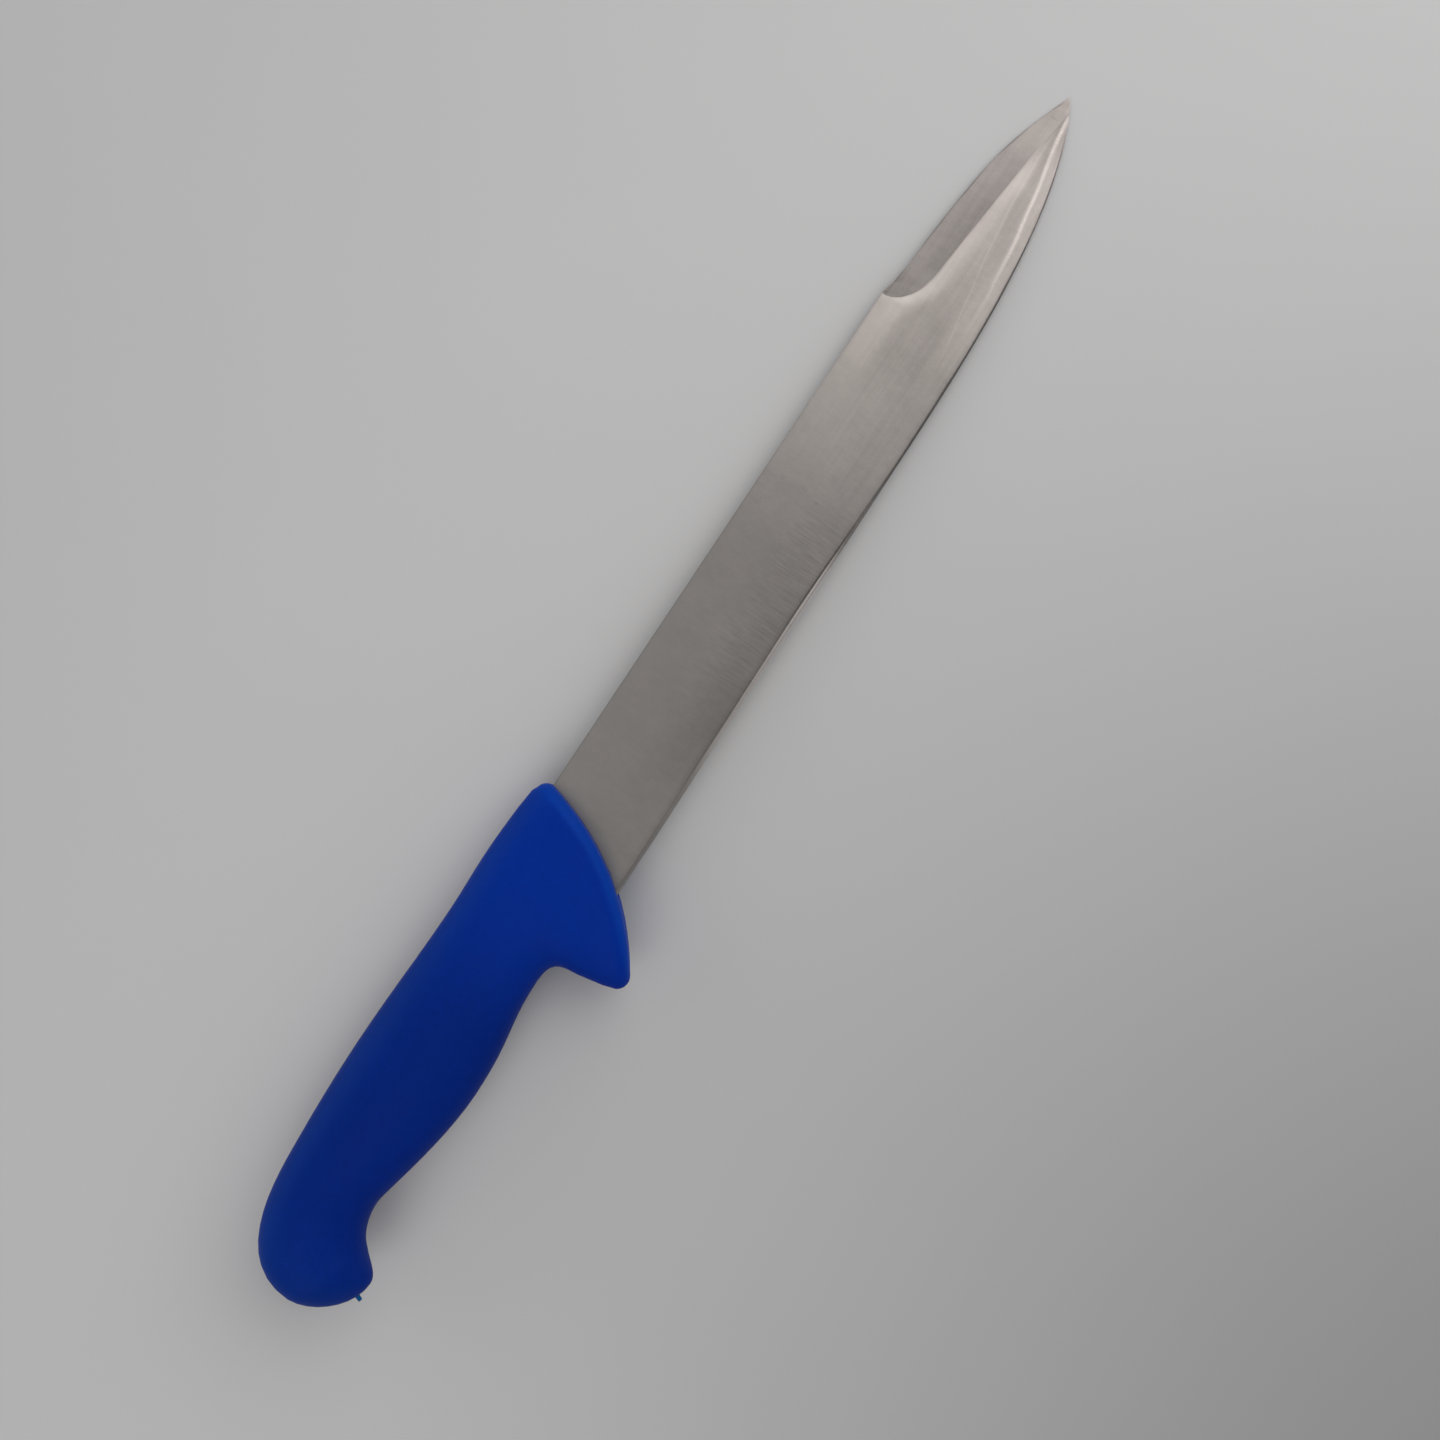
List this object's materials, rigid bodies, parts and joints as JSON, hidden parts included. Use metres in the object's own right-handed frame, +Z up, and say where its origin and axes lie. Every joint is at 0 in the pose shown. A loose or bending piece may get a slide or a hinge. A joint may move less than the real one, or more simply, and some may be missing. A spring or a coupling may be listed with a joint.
{
  "type": "sticking knife",
  "caption": "Sticking knife: a long narrow blade with a hollowed false edge towards its point, on a moulded handle with a deep finger guard and a hooked butt.",
  "frame": {"origin": "middle of the knife's bounding box, on the level that its lower side touches", "axes": "+X from the butt to the point along the back of the blade, +Y to the spine side, +Z up through the thickness"},
  "size_m": [0.3436, 0.0458, 0.022],
  "materials": {
    "stainless_steel": "satin ground",
    "blue_plastic": "fine spark-eroded texture"
  },
  "bodies": {
    "root": {"blade": "stainless_steel", "handle": "blue_plastic"}
  },
  "joints": []
}
